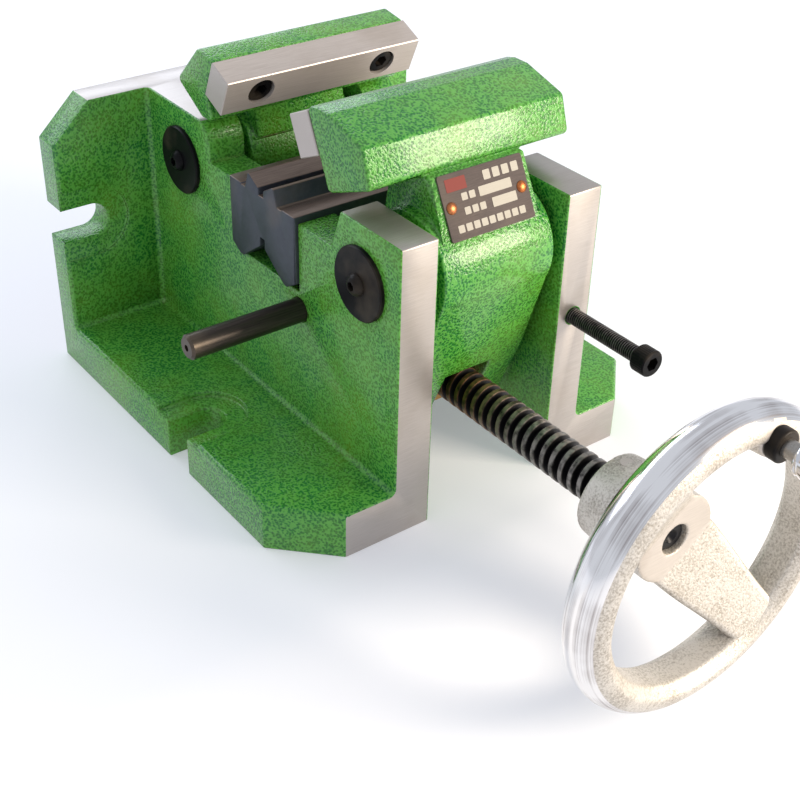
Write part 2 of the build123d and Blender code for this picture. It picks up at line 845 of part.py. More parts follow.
with BuildPart() as handwheel:
    # Rim: rounded outside, flat inside
    with BuildSketch(Plane.YZ):
        with BuildLine():
            ThreePointArc(
                (wheel_plane_y - rim_half_depth, screw_z + rim_shoulder),
                (wheel_plane_y, screw_z + rim_outer),
                (wheel_plane_y + rim_half_depth, screw_z + rim_shoulder),
            )
            Polyline(
                (wheel_plane_y + rim_half_depth, screw_z + rim_shoulder),
                (wheel_plane_y + rim_flat_half, screw_z + rim_inner),
                (wheel_plane_y - rim_flat_half, screw_z + rim_inner),
                (wheel_plane_y - rim_half_depth, screw_z + rim_shoulder),
            )
        make_face()
    revolve(axis=wheel_axis)
    # Hub
    with BuildSketch(Plane.XZ.offset(-hub_front_y)):
        with Locations((0, screw_z)):
            Circle(hub_radius)
    extrude(amount=hub_front_y - hub_rear_y)
    chamfer(edges().filter_by(GeomType.CIRCLE).filter_by(lambda e: e.radius == hub_radius), 1)
    # Two spokes that reach forwards from the hub to the rim
    for angle in (spoke_angle, spoke_angle + 180):
        out = Vector(cos(radians(angle)), 0, sin(radians(angle)))
        across = (-out.Z, 0, out.X)
        root = Vector(0, hub_front_y + 12, screw_z) + out * (hub_radius / 2)
        tip = Vector(0, spoke_tip_y, screw_z) + out * spoke_tip_radius
        with BuildSketch(Plane(origin=root, x_dir=across, z_dir=out)):
            Rectangle(2 * spoke_root_half, spoke_thickness + 2)
        with BuildSketch(Plane(origin=tip, x_dir=across, z_dir=out)):
            Rectangle(2 * spoke_tip_half, spoke_thickness)
        loft()
    # Boss for the handle
    with BuildSketch(Plane.XZ.offset(-boss_face_y)):
        with Locations((handle_x, handle_z)):
            Circle(boss_radius)
    extrude(amount=boss_face_y - wheel_plane_y)
    # Spot face that lets the lock collar sit flat beside the rim's bulge
    with BuildSketch(Plane.XZ.offset(-boss_face_y)):
        with Locations((handle_x, handle_z)):
            Circle(boss_radius + 0.5)
    extrude(amount=4, mode=Mode.SUBTRACT)
    # Bores for the shaft, the pin and the handle's stud
    with BuildSketch(Plane.XZ.offset(-hub_front_y)):
        with Locations((0, screw_z)):
            Circle(journal_radius)
    extrude(amount=hub_front_y - hub_rear_y, mode=Mode.SUBTRACT)
    with BuildSketch(Plane.XY):
        with Locations((0, pin_y)):
            Circle(pin_radius)
    extrude(amount=2 * screw_z, mode=Mode.SUBTRACT)
    with BuildSketch(Plane.XZ.offset(-boss_face_y)):
        with Locations((handle_x, handle_z)):
            Circle(stud_radius)
    extrude(amount=boss_face_y - stud_root_y, mode=Mode.SUBTRACT)
handwheel.part.label = "handwheel"
export_step(handwheel.part, "parts/handwheel.step")

with BuildPart() as wheel_pin:
    with BuildSketch(Plane.XY.offset(screw_z - hub_radius + 0.5)):
        with Locations((0, pin_y)):
            Circle(pin_radius)
    extrude(amount=2 * hub_radius - 1)
wheel_pin.part.label = "wheel_pin"
export_step(wheel_pin.part, "parts/wheel_pin.step")

with BuildPart() as handle_stud:
    for start, end, radius in (
        (stud_root_y, grip_start_y, stud_radius),
        (grip_start_y, axle_end_y, axle_radius),
        (axle_end_y, axle_end_y - 3, axle_head_radius),
    ):
        with BuildSketch(Plane.XZ.offset(-start)):
            with Locations((handle_x, handle_z)):
                Circle(radius)
        extrude(amount=start - end)
    with BuildSketch(Plane.XZ.offset(3 - axle_end_y)):
        with Locations((handle_x, handle_z)):
            Rectangle(2 * axle_head_radius, 1.2)
    extrude(amount=-1.5, mode=Mode.SUBTRACT)
handle_stud.part.label = "handle_stud"
export_step(handle_stud.part, "parts/handle_stud.step")

with BuildPart() as handle_lock_collar:
    with BuildSketch(Plane.XZ.offset(-boss_face_y)):
        with Locations((handle_x, handle_z)):
            Circle(lock_radius)
            Circle(stud_radius, mode=Mode.SUBTRACT)
    extrude(amount=lock_width)
    outer_rims = edges().filter_by(GeomType.CIRCLE).filter_by(lambda e: e.radius == lock_radius)
    fillet(outer_rims, 1.2)
handle_lock_collar.part.label = "handle_lock_collar"
export_step(handle_lock_collar.part, "parts/handle_lock_collar.step")

grip_plane = Plane(
    origin=(handle_x, grip_start_y - 0.2, handle_z), x_dir=(0, -1, 0), z_dir=(-1, 0, 0)
)

with BuildPart() as handle_grip:
    with BuildSketch(grip_plane):
        with BuildLine():
            Line((0, axle_radius + running_clearance), (0, grip_neck_radius))
            Spline(
                (0, grip_neck_radius),
                (0.3 * grip_length, 0.88 * grip_radius),
                (0.66 * grip_length, grip_radius),
                (grip_length, grip_end_radius),
            )
            Line((grip_length, grip_end_radius), (grip_length, axle_radius + running_clearance))
            Line(
                (grip_length, axle_radius + running_clearance),
                (0, axle_radius + running_clearance),
            )
        make_face()
    revolve(axis=Axis(grip_plane.origin, (0, -1, 0)))
    with BuildSketch(Plane.XZ.offset(grip_length - grip_start_y + 0.2)):
        with Locations((handle_x, handle_z)):
            Circle(axle_head_radius + 0.4)
    extrude(amount=-(grip_length + grip_start_y - axle_end_y + 0.1), mode=Mode.SUBTRACT)
handle_grip.part.label = "handle_grip"
export_step(handle_grip.part, "parts/handle_grip.step")

# ---------------------------------------------------------------- stop rod
with BuildPart() as stop_rod:
    with BuildSketch(Plane.YZ.offset(rod_tip_x)):
        with Locations((rod_y, rod_z)):
            Circle(rod_radius)
    extrude(amount=rod_end_x - rod_tip_x)
    chamfer(edges().filter_by(GeomType.CIRCLE), 1.2)
    with BuildSketch(Plane.YZ.offset(rod_tip_x)):
        with Locations((rod_y, rod_z)):
            Circle(1.6)
    extrude(amount=4, mode=Mode.SUBTRACT)
stop_rod.part.label = "stop_rod"
export_step(stop_rod.part, "parts/stop_rod.step")

with BuildPart() as rod_clamp_screw:
    add(Plane(origin=(clamp_x, clamp_head_y, rod_z), z_dir=(0, -1, 0)) * m8_screw(clamp_length))
rod_clamp_screw.part.label = "rod_clamp_screw"
export_step(rod_clamp_screw.part, "parts/rod_clamp_screw.step")
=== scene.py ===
"""Shaft vise with a V-block, two swinging jaws and a handwheel: its looks, built on the CAD frame.

Every length is in metres.  Sizes in millimetres are multiplied by MM.  X runs along the jaws,
-Y points at the handwheel and +Z is up.
"""

import logging
import math
from dataclasses import dataclass, field
from enum import Enum
from typing import Any, Callable, Sequence

import bmesh
import bpy
from bmesh.types import BMEdge, BMesh, BMVert
from mathutils import Matrix, Vector

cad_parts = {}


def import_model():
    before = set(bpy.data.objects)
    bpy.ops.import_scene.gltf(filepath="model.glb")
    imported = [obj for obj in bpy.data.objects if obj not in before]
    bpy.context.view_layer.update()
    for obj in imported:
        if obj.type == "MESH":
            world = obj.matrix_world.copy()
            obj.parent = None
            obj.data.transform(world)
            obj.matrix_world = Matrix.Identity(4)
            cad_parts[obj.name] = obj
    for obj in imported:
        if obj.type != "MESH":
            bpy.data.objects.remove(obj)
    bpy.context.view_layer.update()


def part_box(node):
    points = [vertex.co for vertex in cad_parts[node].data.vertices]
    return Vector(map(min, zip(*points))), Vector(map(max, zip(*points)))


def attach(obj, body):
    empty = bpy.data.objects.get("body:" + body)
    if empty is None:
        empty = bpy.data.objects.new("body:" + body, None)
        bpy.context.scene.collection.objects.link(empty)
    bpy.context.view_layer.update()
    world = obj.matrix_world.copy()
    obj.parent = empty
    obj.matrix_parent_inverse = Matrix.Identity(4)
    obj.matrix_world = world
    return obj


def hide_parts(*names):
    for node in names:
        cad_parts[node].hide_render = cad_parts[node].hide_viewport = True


LOG = logging.getLogger("shaft_vise")
MM = 0.001
FULL_TURN = 2 * math.pi
SIXTH_TURN = math.pi / 3
COAT_ROUGHNESS = 0.12


# ---- colour and shader nodes
def srgb(code: str) -> tuple[float, float, float, float]:
    """Turn an sRGB hex value into a linear colour.

    Args:
        code: Colour such as "#35773d".

    Returns:
        Linear red, green, blue and an alpha of 1.
    """
    channels = [int(code[start : start + 2], 16) / 255 for start in (1, 3, 5)]
    linear = [c / 12.92 if c <= 0.04045 else ((c + 0.055) / 1.055) ** 2.4 for c in channels]
    return (linear[0], linear[1], linear[2], 1.0)


# Inputs of a colour mix, which share one name.
MIX_A = 6
MIX_B = 7


@dataclass
class Skin:
    """A material in the making: its node tree, its shader and its object coordinates."""

    material: bpy.types.Material

    def __post_init__(self) -> None:
        """Find the shader and add the coordinates."""
        self.material.use_nodes = True
        self.tree = self.material.node_tree
        self.shader = self.tree.nodes["Principled BSDF"]
        self.place = self.add("TexCoord").outputs["Object"]

    def add(
        self, kind: str, settings: dict[Any, Any] | None = None, links: dict[Any, Any] | None = None
    ) -> bpy.types.Node:
        """Add a shader node with its settings and links.

        Args:
            kind: Node type without its "ShaderNode", such as "Bump".
            settings: Values by property name, or by input name or number.
            links: Nodes or sockets by the name or number of the input that they feed.

        Returns:
            The new node.
        """
        node = self.tree.nodes.new("ShaderNode" + kind)
        for name, value in (settings or {}).items():
            if isinstance(name, int) or name in node.inputs:
                node.inputs[name].default_value = value
            else:
                setattr(node, name, value)
        self.feed(node, links or {})
        return node

    def feed(self, node: bpy.types.Node, links: dict[Any, Any]) -> None:
        """Link sources to the inputs of a node.

        Args:
            node: Node to feed.
            links: Nodes, of which the first output counts, or sockets, by input.
        """
        for name, source in links.items():
            if isinstance(source, bpy.types.Node):
                source = next(socket for socket in source.outputs if socket.enabled)
            self.tree.links.new(source, node.inputs[name])


@dataclass(frozen=True)
class Finish:
    """A plain finish; the others add their pattern to it."""

    name: str
    colour: str
    metallic: float = 0.0
    roughness: float = 0.5
    coat: float = 0.0
    index: float = field(default=1.5, kw_only=True)

    def make(self) -> bpy.types.Material:
        """Make the material of this finish, or find it if it is made.

        Returns:
            The material.
        """
        known = bpy.data.materials.get(self.name)
        if known:
            return known
        material = bpy.data.materials.new(self.name)
        skin = Skin(material)
        values = {
            "Base Color": srgb(self.colour),
            "Metallic": self.metallic,
            "Roughness": self.roughness,
            "IOR": self.index,
            "Coat Weight": self.coat,
            "Coat Roughness": COAT_ROUGHNESS,
        }
        for name, value in values.items():
            skin.shader.inputs[name].default_value = value
        self.paint(skin)
        return material

    def paint(self, skin: Skin) -> None:
        """Add the finish's pattern; a plain finish has none."""


@dataclass(frozen=True)
class HammertoneEnamel(Finish):
    """Hammered enamel sprayed on rough iron: glossy, dimpled, uneven in tone."""

    # Colour of the painted shade in the hollows of the dimples.
    dimple_shade: str = "#155a1c"
    # Colour of the painted glints on the ridges of the dimples.
    ridge_glint: str = "#63ad45"
    sunny: str = "#6f9a1c"
    # Colour of the painted highlight along concave corners, where the fillets would catch the light.
    corner_highlight: str = "#a9bf62"
    rubbed: str = "#6b4a26"
    dimple_mm: float = 1.25
    tone_mm: float = 40.0
    corner_mm: float = 4.5

    def paint(self, skin: Skin) -> None:
        """Add dimples with painted shade in their hollows and painted glints on their ridges, tones, a
        painted highlight along concave corners and rubbed edges.

        Args:
            skin: Material to work on.
        """
        stir = skin.add(
            "TexNoise", {"Scale": 1 / (1.7 * self.dimple_mm * MM), "Detail": 2.0},
            {"Vector": skin.place},
        )
        bent = skin.add(
            "VectorMath", {"operation": "MULTIPLY_ADD", 1: (self.dimple_mm * MM,) * 3},
            {0: stir.outputs["Color"], 2: skin.place},
        )
        cells = skin.add(
            "TexVoronoi",
            {"feature": "SMOOTH_F1", "Scale": 1 / (self.dimple_mm * MM), "Smoothness": 0.7},
            {"Vector": bent},
        )
        grain = skin.add(
            "TexNoise", {"Scale": 1 / (0.55 * self.dimple_mm * MM), "Detail": 3.0},
            {"Vector": skin.place},
        )
        hollow = skin.add("MapRange", {"From Min": 0.12, "From Max": 0.62}, {"Value": cells})
        relief = skin.add("Math", {"operation": "MULTIPLY_ADD", 1: 0.9}, {0: grain, 2: hollow})
        # Painted shade: the hollows of the dimples are darker, as if shaded.
        dimple_shade_mask = skin.add("MapRange", {"From Min": 0.3, "From Max": 1.0}, {"Value": relief})
        # Painted highlight: the ridges of the dimples are paler, as if they caught the light.
        ridge_glint_mask = skin.add(
            "MapRange", {"From Min": 0.95, "From Max": 1.35, "To Max": 0.7}, {"Value": relief}
        )
        tone = skin.add(
            "TexNoise", {"Scale": 1 / (self.tone_mm * MM), "Detail": 4.0, "Roughness": 0.6},
            {"Vector": skin.place},
        )
        warm = skin.add(
            "MapRange", {"From Min": 0.42, "From Max": 0.72, "To Max": 0.6}, {"Value": tone}
        )
        base = skin.add(
            "Mix", {"data_type": "RGBA", MIX_A: srgb(self.dimple_shade), MIX_B: srgb(self.colour)}, {0: dimple_shade_mask}
        )
        toned = skin.add("Mix", {"data_type": "RGBA", MIX_B: srgb(self.sunny)}, {0: warm, MIX_A: base})
        lit = skin.add("Mix", {"data_type": "RGBA", MIX_B: srgb(self.ridge_glint)}, {0: ridge_glint_mask, MIX_A: toned})
        # Painted highlight: paler along concave corners, found by occlusion, as if the fillets caught
        # the light.
        corner = skin.add(
            "AmbientOcclusion", {"samples": 8, "only_local": True, "Distance": self.corner_mm * MM}
        )
        line = skin.add(
            "MapRange", {"From Min": 0.66, "From Max": 0.5, "To Max": 0.55},
            {"Value": corner.outputs["AO"]},
        )
        corner_highlighted = skin.add("Mix", {"data_type": "RGBA", MIX_B: srgb(self.corner_highlight)}, {0: line, MIX_A: lit})
        edge = skin.add(
            "AmbientOcclusion", {"samples": 8, "inside": True, "only_local": True, "Distance": 1.6 * MM}
        )
        worn = skin.add(
            "MapRange", {"From Min": 0.72, "From Max": 0.5, "To Max": 1.0},
            {"Value": edge.outputs["AO"]},
        )
        patch = skin.add(
            "MapRange", {"From Min": 0.56, "From Max": 0.66, "To Max": 0.6}, {"Value": tone}
        )
        rub = skin.add("Math", {"operation": "MULTIPLY"}, {0: worn, 1: patch})
        final = skin.add("Mix", {"data_type": "RGBA", MIX_B: srgb(self.rubbed)}, {0: rub, MIX_A: corner_highlighted})
        gloss = skin.add(
            "MapRange", {"To Min": self.roughness - 0.08, "To Max": self.roughness + 0.12},
            {"Value": grain},
        )
        bump = skin.add("Bump", {"Strength": 0.8, "Distance": 0.22 * MM}, {"Height": relief})
        skin.feed(skin.shader, {"Base Color": final, "Roughness": gloss, "Normal": bump})


@dataclass(frozen=True)
class CutMetal(Finish):
    """Metal with the fine, straight marks of a grinding wheel, milling cutter or lathe tool."""

    second: str = "#8f8780"
    grain_mm: tuple[float, float, float] = (14.0, 0.35, 0.35)
    stain_mm: float = 26.0
    stain: str = "#8a7a66"
    stain_amount: float = 0.25

    def paint(self, skin: Skin) -> None:
        """Add stretched tool marks and faint stains.

        Args:
            skin: Material to work on.
        """
        stretch = skin.add(
            "Mapping", {"Scale": tuple(1 / (size * MM) for size in self.grain_mm)},
            {"Vector": skin.place},
        )
        marks = skin.add(
            "TexNoise", {"Scale": 1.0, "Detail": 4.0, "Roughness": 0.7}, {"Vector": stretch}
        )
        cloud = skin.add(
            "TexNoise", {"Scale": 1 / (self.stain_mm * MM), "Detail": 5.0}, {"Vector": skin.place}
        )
        spread = skin.add("MapRange", {"From Min": 0.3, "From Max": 0.7}, {"Value": marks})
        steel = skin.add(
            "Mix", {"data_type": "RGBA", MIX_A: srgb(self.second), MIX_B: srgb(self.colour)},
            {0: spread},
        )
        spots = skin.add(
            "MapRange", {"From Min": 0.5, "From Max": 0.75, "To Max": self.stain_amount},
            {"Value": cloud},
        )
        stained = skin.add(
            "Mix", {"data_type": "RGBA", MIX_B: srgb(self.stain)}, {0: spots, MIX_A: steel}
        )
        gloss = skin.add(
            "MapRange", {"To Min": self.roughness - 0.1, "To Max": self.roughness + 0.12},
            {"Value": marks},
        )
        bump = skin.add("Bump", {"Strength": 0.25, "Distance": 0.04 * MM}, {"Height": marks})
        skin.feed(skin.shader, {"Base Color": stained, "Roughness": gloss, "Normal": bump})


@dataclass(frozen=True)
class ThreadSteel(Finish):
    """Oiled black thread whose crests are rubbed bright, browner towards the vise."""

    crest: str = "#8f8a85"
    brown: str = "#7d5a3c"
    axis_x: float = 0.0
    axis_z: float = 0.05
    crest_radius: float = 10 * MM
    crest_depth: float = 0.7 * MM
    brown_from: float = -0.135
    brown_to: float = -0.095

    def paint(self, skin: Skin) -> None:
        """Brighten what stands furthest from the screw's axis.

        Args:
            skin: Material to work on.
        """
        across = skin.add(
            "Mapping", {"Location": (-self.axis_x, 0.0, -self.axis_z), "Scale": (1.0, 0.0, 1.0)},
            {"Vector": skin.place},
        )
        radius = skin.add("VectorMath", {"operation": "LENGTH"}, {0: across})
        wear = skin.add("TexNoise", {"Scale": 1 / (3 * MM), "Detail": 3.0}, {"Vector": skin.place})
        high = skin.add(
            "MapRange",
            {
                "From Min": self.crest_radius - self.crest_depth,
                "From Max": self.crest_radius - 0.1 * self.crest_depth,
            },
            {"Value": radius},
        )
        rubbed = skin.add("MapRange", {"From Min": 0.25, "From Max": 0.6}, {"Value": wear})
        amount = skin.add("Math", {"operation": "MULTIPLY"}, {0: high, 1: rubbed})
        along = skin.add("SeparateXYZ", links={"Vector": skin.place})
        near = skin.add(
            "MapRange", {"From Min": self.brown_from, "From Max": self.brown_to},
            {"Value": along.outputs["Y"]},
        )
        tint = skin.add(
            "Mix", {"data_type": "RGBA", MIX_A: srgb(self.crest), MIX_B: srgb(self.brown)}, {0: near}
        )
        colour = skin.add(
            "Mix", {"data_type": "RGBA", MIX_A: srgb(self.colour)}, {0: amount, MIX_B: tint}
        )
        gloss = skin.add(
            "MapRange", {"To Min": self.roughness - 0.08, "To Max": self.roughness + 0.15},
            {"Value": wear},
        )
        skin.feed(skin.shader, {"Base Color": colour, "Roughness": gloss})


@dataclass(frozen=True)
class CastMetal(Finish):
    """Bare metal with the skin that the mould's sand left: pitted and uneven."""

    pit: str = "#a0988d"
    grit_mm: float = 1.0
    depth_mm: float = 0.35
    cloud_mm: float = 18.0

    def paint(self, skin: Skin) -> None:
        """Add sand grain and dirty pits.

        Args:
            skin: Material to work on.
        """
        sand = skin.add(
            "TexNoise", {"Scale": 1 / (self.grit_mm * MM), "Detail": 4.0, "Roughness": 0.65},
            {"Vector": skin.place},
        )
        cloud = skin.add(
            "TexNoise", {"Scale": 1 / (self.cloud_mm * MM), "Detail": 3.0}, {"Vector": skin.place}
        )
        both = skin.add("Math", {"operation": "MULTIPLY_ADD", 1: 0.5}, {0: cloud, 2: sand})
        clean = skin.add("MapRange", {"From Min": 0.55, "From Max": 0.82}, {"Value": both})
        colour = skin.add(
            "Mix", {"data_type": "RGBA", MIX_A: srgb(self.pit), MIX_B: srgb(self.colour)}, {0: clean}
        )
        gloss = skin.add(
            "MapRange", {"To Min": self.roughness + 0.12, "To Max": self.roughness - 0.12},
            {"Value": clean},
        )
        bump = skin.add("Bump", {"Strength": 0.7, "Distance": self.depth_mm * MM}, {"Height": sand})
        skin.feed(skin.shader, {"Base Color": colour, "Roughness": gloss, "Normal": bump})


@dataclass(frozen=True)
class Polished(Finish):
    """Buffed metal: a mirror with soft waves and a haze of fingermarks."""

    wave_mm: float = 16.0
    wave_depth_mm: float = 0.12
    haze: float = 0.1

    def paint(self, skin: Skin) -> None:
        """Add the waves and the haze.

        Args:
            skin: Material to work on.
        """
        wave = skin.add(
            "TexNoise", {"Scale": 1 / (self.wave_mm * MM), "Detail": 2.0}, {"Vector": skin.place}
        )
        gloss = skin.add(
            "MapRange",
            {
                "From Min": 0.35,
                "From Max": 0.7,
                "To Min": self.roughness,
                "To Max": self.roughness + self.haze,
            },
            {"Value": wave},
        )
        bump = skin.add(
            "Bump", {"Strength": 0.4, "Distance": self.wave_depth_mm * MM}, {"Height": wave}
        )
        skin.feed(skin.shader, {"Roughness": gloss, "Normal": bump})


@dataclass(frozen=True)
class RingPolished(Finish):
    """Metal buffed on a spindle: bright, with soft streaks that run round its axis."""

    shade: str = "#a9a3a2"
    axis_z: float = 0.05
    streak_mm: float = 1.3
    patch_mm: float = 30.0

    def paint(self, skin: Skin) -> None:
        """Add streaks that keep one radius and one distance along the axis.

        Args:
            skin: Material to work on.
        """
        across = skin.add(
            "Mapping", {"Location": (0.0, 0.0, -self.axis_z), "Scale": (1.0, 0.0, 1.0)},
            {"Vector": skin.place},
        )
        radius = skin.add("VectorMath", {"operation": "LENGTH"}, {0: across})
        along = skin.add("SeparateXYZ", links={"Vector": skin.place})
        ring = skin.add("CombineXYZ", links={"X": radius, "Y": along.outputs["Y"]})
        streak = skin.add(
            "TexNoise", {"Scale": 1 / (self.streak_mm * MM), "Detail": 3.0, "Roughness": 0.6},
            {"Vector": ring},
        )
        patch = skin.add(
            "TexNoise", {"Scale": 1 / (self.patch_mm * MM), "Detail": 3.0}, {"Vector": skin.place}
        )
        both = skin.add("Math", {"operation": "MULTIPLY"}, {0: streak, 1: patch})
        dull = skin.add("MapRange", {"From Min": 0.2, "From Max": 0.38}, {"Value": both})
        colour = skin.add(
            "Mix", {"data_type": "RGBA", MIX_A: srgb(self.colour), MIX_B: srgb(self.shade)}, {0: dull}
        )
        gloss = skin.add(
            "MapRange", {"To Min": self.roughness, "To Max": self.roughness + 0.16}, {"Value": dull}
        )
        bump = skin.add("Bump", {"Strength": 0.35, "Distance": 0.05 * MM}, {"Height": streak})
        skin.feed(skin.shader, {"Base Color": colour, "Roughness": gloss, "Normal": bump})


class Surface(Enum):
    """Every finish on the vise."""

    # Hammered enamel, sprayed: mid green, glossy, with painted shade in its hollows and painted glints
    # on its ridges.
    ENAMEL = HammertoneEnamel("hammertone_enamel", "#1a7326", 0.0, 0.22, 0.2, index=1.42)
    # The same enamel on the levers, with a fainter painted highlight along their concave corners.
    LEVER_ENAMEL = HammertoneEnamel(
        "hammertone_enamel_on_levers", "#1a7326", 0.0, 0.22, 0.3, index=1.45, corner_highlight="#3c8a34"
    )
    # Grey iron, milled: dull warm grey with faint cutter marks.
    MILLED_IRON = CutMetal("milled_grey_iron", "#bcb6b1", 0.8, 0.38, 0.0, "#a9a29c")
    # Hardened steel, surface ground: brighter and cooler, marks along the jaw.
    GROUND_STEEL = CutMetal("ground_jaw_steel", "#c2b9b3", 0.35, 0.34, 0.0, "#ada49d")
    # Blued steel: nearly slate, for the V-block's flanks and ends.
    BLUED_STEEL = CutMetal("blued_block_steel", "#4b5058", 0.6, 0.42, 0.0, "#3e4249", (3.0, 3.0, 3.0))
    # Blued steel whose lands were ground through to brown steel.
    BROWN_LAND = CutMetal("ground_block_lands", "#85756a", 0.6, 0.38, 0.0, "#5f5148")
    # Black oxide: satin black with a cold sheen.
    BLACK_OXIDE = CutMetal(
        "black_oxide_steel", "#0f0f11", 0.0, 0.36, 0.0, "#08080a", (1.2, 1.2, 1.2), index=1.2
    )
    # Drawn steel rod, oiled and browned.
    BROWNED_ROD = CutMetal("browned_rod_steel", "#4a423c", 0.75, 0.34, 0.0, "#2c2724", (30.0, 0.8, 0.8))
    # Turned steel: bright, ringed by the lathe tool.
    TURNED_STEEL = CutMetal("lathe_turned_steel", "#b8b5b0", 0.9, 0.3, 0.0, "#86837e")
    # Bronze: bushes and nuts.
    BRONZE = CutMetal("machined_bronze", "#b08a52", 0.9, 0.35, 0.0, "#8a6a3c")
    # Copper: the rivets of the plate.
    COPPER = CutMetal("copper_rivets", "#c87a45", 0.85, 0.35, 0.0, "#8a4a2a", (2.0, 2.0, 2.0))
    # Black rolled thread with rubbed crests.
    SCREW_THREAD = ThreadSteel("lead_screw_thread", "#19181a", 0.7, 0.36)
    # Black cap screw with faint crests.
    CAP_THREAD = ThreadSteel(
        "cap_screw_thread", "#1b1b1d", 0.6, 0.4, 0.0, "#6e6a68", "#6e6a68",
        0.046, 0.0845, 4 * MM, 0.3 * MM,
    )
    # Cast aluminium: light, sandy, with dirt in its pits.
    CAST_ALUMINIUM = CastMetal("cast_wheel_metal", "#d5cfc6", 0.5, 0.5)
    # The same casting, faced off on a lathe.
    FACED_ALUMINIUM = CutMetal("faced_hub_metal", "#cfc7bf", 0.4, 0.45, 0.0, "#bab2a9")
    # Aluminium buffed on a spindle: almost a mirror, with streaks round the rim.
    BUFFED_ALUMINIUM = RingPolished("buffed_rim_metal", "#eeeded", 1.0, 0.12)
    # Chromium plate.
    CHROME = Polished("chromium_plate", "#d9dadd", 1.0, 0.04, 0.0, 20.0, 0.03, 0.05)
    # Etched and blackened plate.
    ETCHED = CutMetal(
        "blackened_plate", "#5f5450", 0.0, 0.6, 0.0, "#4c4340", (6.0, 0.5, 0.5), index=1.3
    )
    # Bare metal left proud by the etching.
    BARE_FIELD = CutMetal("bare_plate_fields", "#b0aa9d", 0.0, 0.5, 0.0, "#a39c8f", index=1.4)
    # A dab of red lacquer.
    RED_LACQUER = Finish("red_lacquer", "#7a3029", 0.0, 0.55, 0.0, index=1.3)

    def material(self) -> bpy.types.Material:
        """Return the material of this finish."""
        return self.value.make()


# ---- mesh making
def soften(
    shape: BMesh,
    width: float,
    least_turn: float = 30.0,
    steps: int = 2,
    chosen: Sequence[BMEdge] | None = None,
) -> None:
    """Round every edge at which the surface turns sharply.

    Args:
        shape: Mesh to work on.
        width: Width of the rounding at each side of an edge.
        least_turn: Smallest turn, in degrees, that counts as an edge.
        steps: Segments of the rounding.
        chosen: Edges to round instead of the sharp ones.
    """
    sharp = chosen or [
        edge
        for edge in shape.edges
        if len(edge.link_faces) == 2 and math.degrees(edge.calc_face_angle(0.0)) > least_turn
    ]
    bmesh.ops.bevel(
        shape, geom=sharp, offset=width, offset_type="OFFSET", segments=steps, profile=0.5,
        affect="EDGES", material=-1, clamp_overlap=False,
    )


def keep_inside(shape: BMesh, low: Vector, high: Vector) -> None:
    """Hold every corner of a mesh within the box from its low to its high corner."""
    for vert in shape.verts:
        vert.co = Vector(min(max(c, a), b) for c, a, b in zip(vert.co, low, high))


def lathe(profile: Sequence[tuple[float, float]], steps: int = 96) -> BMesh:
    """Turn a closed outline about the Z axis.

    Args:
        profile: (radius, z) corners in order.
        steps: Segments of the full turn.

    Returns:
        A closed mesh.
    """
    shape = bmesh.new()
    ring = [shape.verts.new((radius, 0.0, z)) for radius, z in profile]
    pairs = list(zip(ring, ring[1:]))
    if profile[0][0] > 0 or profile[-1][0] > 0:
        pairs.append((ring[-1], ring[0]))
    edges = [shape.edges.new(pair) for pair in pairs]
    bmesh.ops.spin(
        shape, geom=ring + edges, cent=(0, 0, 0), axis=(0, 0, 1), dvec=(0, 0, 0), angle=FULL_TURN,
        steps=steps, use_merge=True,
    )
    bmesh.ops.remove_doubles(shape, verts=shape.verts, dist=0.001 * MM)
    bmesh.ops.recalc_face_normals(shape, faces=shape.faces)
    return shape


def threaded_rod(
    radius: float, depth: float, pitch: float, length: float, hand: int = 1, steps: int = 40
) -> BMesh:
    """Make a rod along +Z with a real helical thread.

    Args:
        radius: Radius over the crests.
        depth: Depth of the thread.
        pitch: Rise of one turn.
        length: Length of the rod.
        hand: 1 for a right-hand thread, -1 for a left-hand one.
        steps: Segments of one turn.

    Returns:
        A closed mesh from z = 0 to z = length.
    """
    shape = bmesh.new()
    root = radius - depth
    outline = [(root, 0.0), (root, 0.3), (radius, 0.46), (radius, 0.84), (root, 1.0)]
    verts = [shape.verts.new((r, 0.0, (share - 1.5) * pitch)) for r, share in outline]
    edges = [shape.edges.new(pair) for pair in zip(verts, verts[1:])]
    turns = math.ceil(length / pitch) + 3
    bmesh.ops.spin(
        shape, geom=verts + edges, cent=(0, 0, 0), axis=(0, 0, 1), dvec=(0, 0, pitch / steps),
        angle=hand * turns * FULL_TURN, steps=turns * steps, use_merge=False,
    )
    bmesh.ops.remove_doubles(shape, verts=shape.verts, dist=pitch / 500)
    for height, outward in ((0.0, -1), (length, 1)):
        bmesh.ops.bisect_plane(
            shape, geom=shape.verts[:] + shape.edges[:] + shape.faces[:], plane_co=(0, 0, height),
            plane_no=(0, 0, outward), clear_outer=True,
        )
    rims = [edge for edge in shape.edges if edge.is_boundary]
    bmesh.ops.holes_fill(shape, edges=rims, sides=0)
    bmesh.ops.recalc_face_normals(shape, faces=shape.faces)
    return shape


def joined(shapes: Sequence[tuple[BMesh, Matrix]]) -> BMesh:
    """Gather meshes into one, each moved by its matrix, and free them.

    Args:
        shapes: Meshes and where they go.

    Returns:
        One mesh.
    """
    whole = bmesh.new()
    for shape, place in shapes:
        bmesh.ops.transform(shape, matrix=place, verts=shape.verts)
        scrap = bpy.data.meshes.new("scrap")
        shape.to_mesh(scrap)
        shape.free()
        whole.from_mesh(scrap)
        bpy.data.meshes.remove(scrap)
    return whole


def along_y(x: float, y: float, z: float, sign: int = 1) -> Matrix:
    """Return the matrix that lays a shape's +Z along +Y or -Y, with its origin at a point."""
    return Matrix.Translation((x, y, z)) @ Matrix.Rotation(-sign * math.pi / 2, 4, "X")


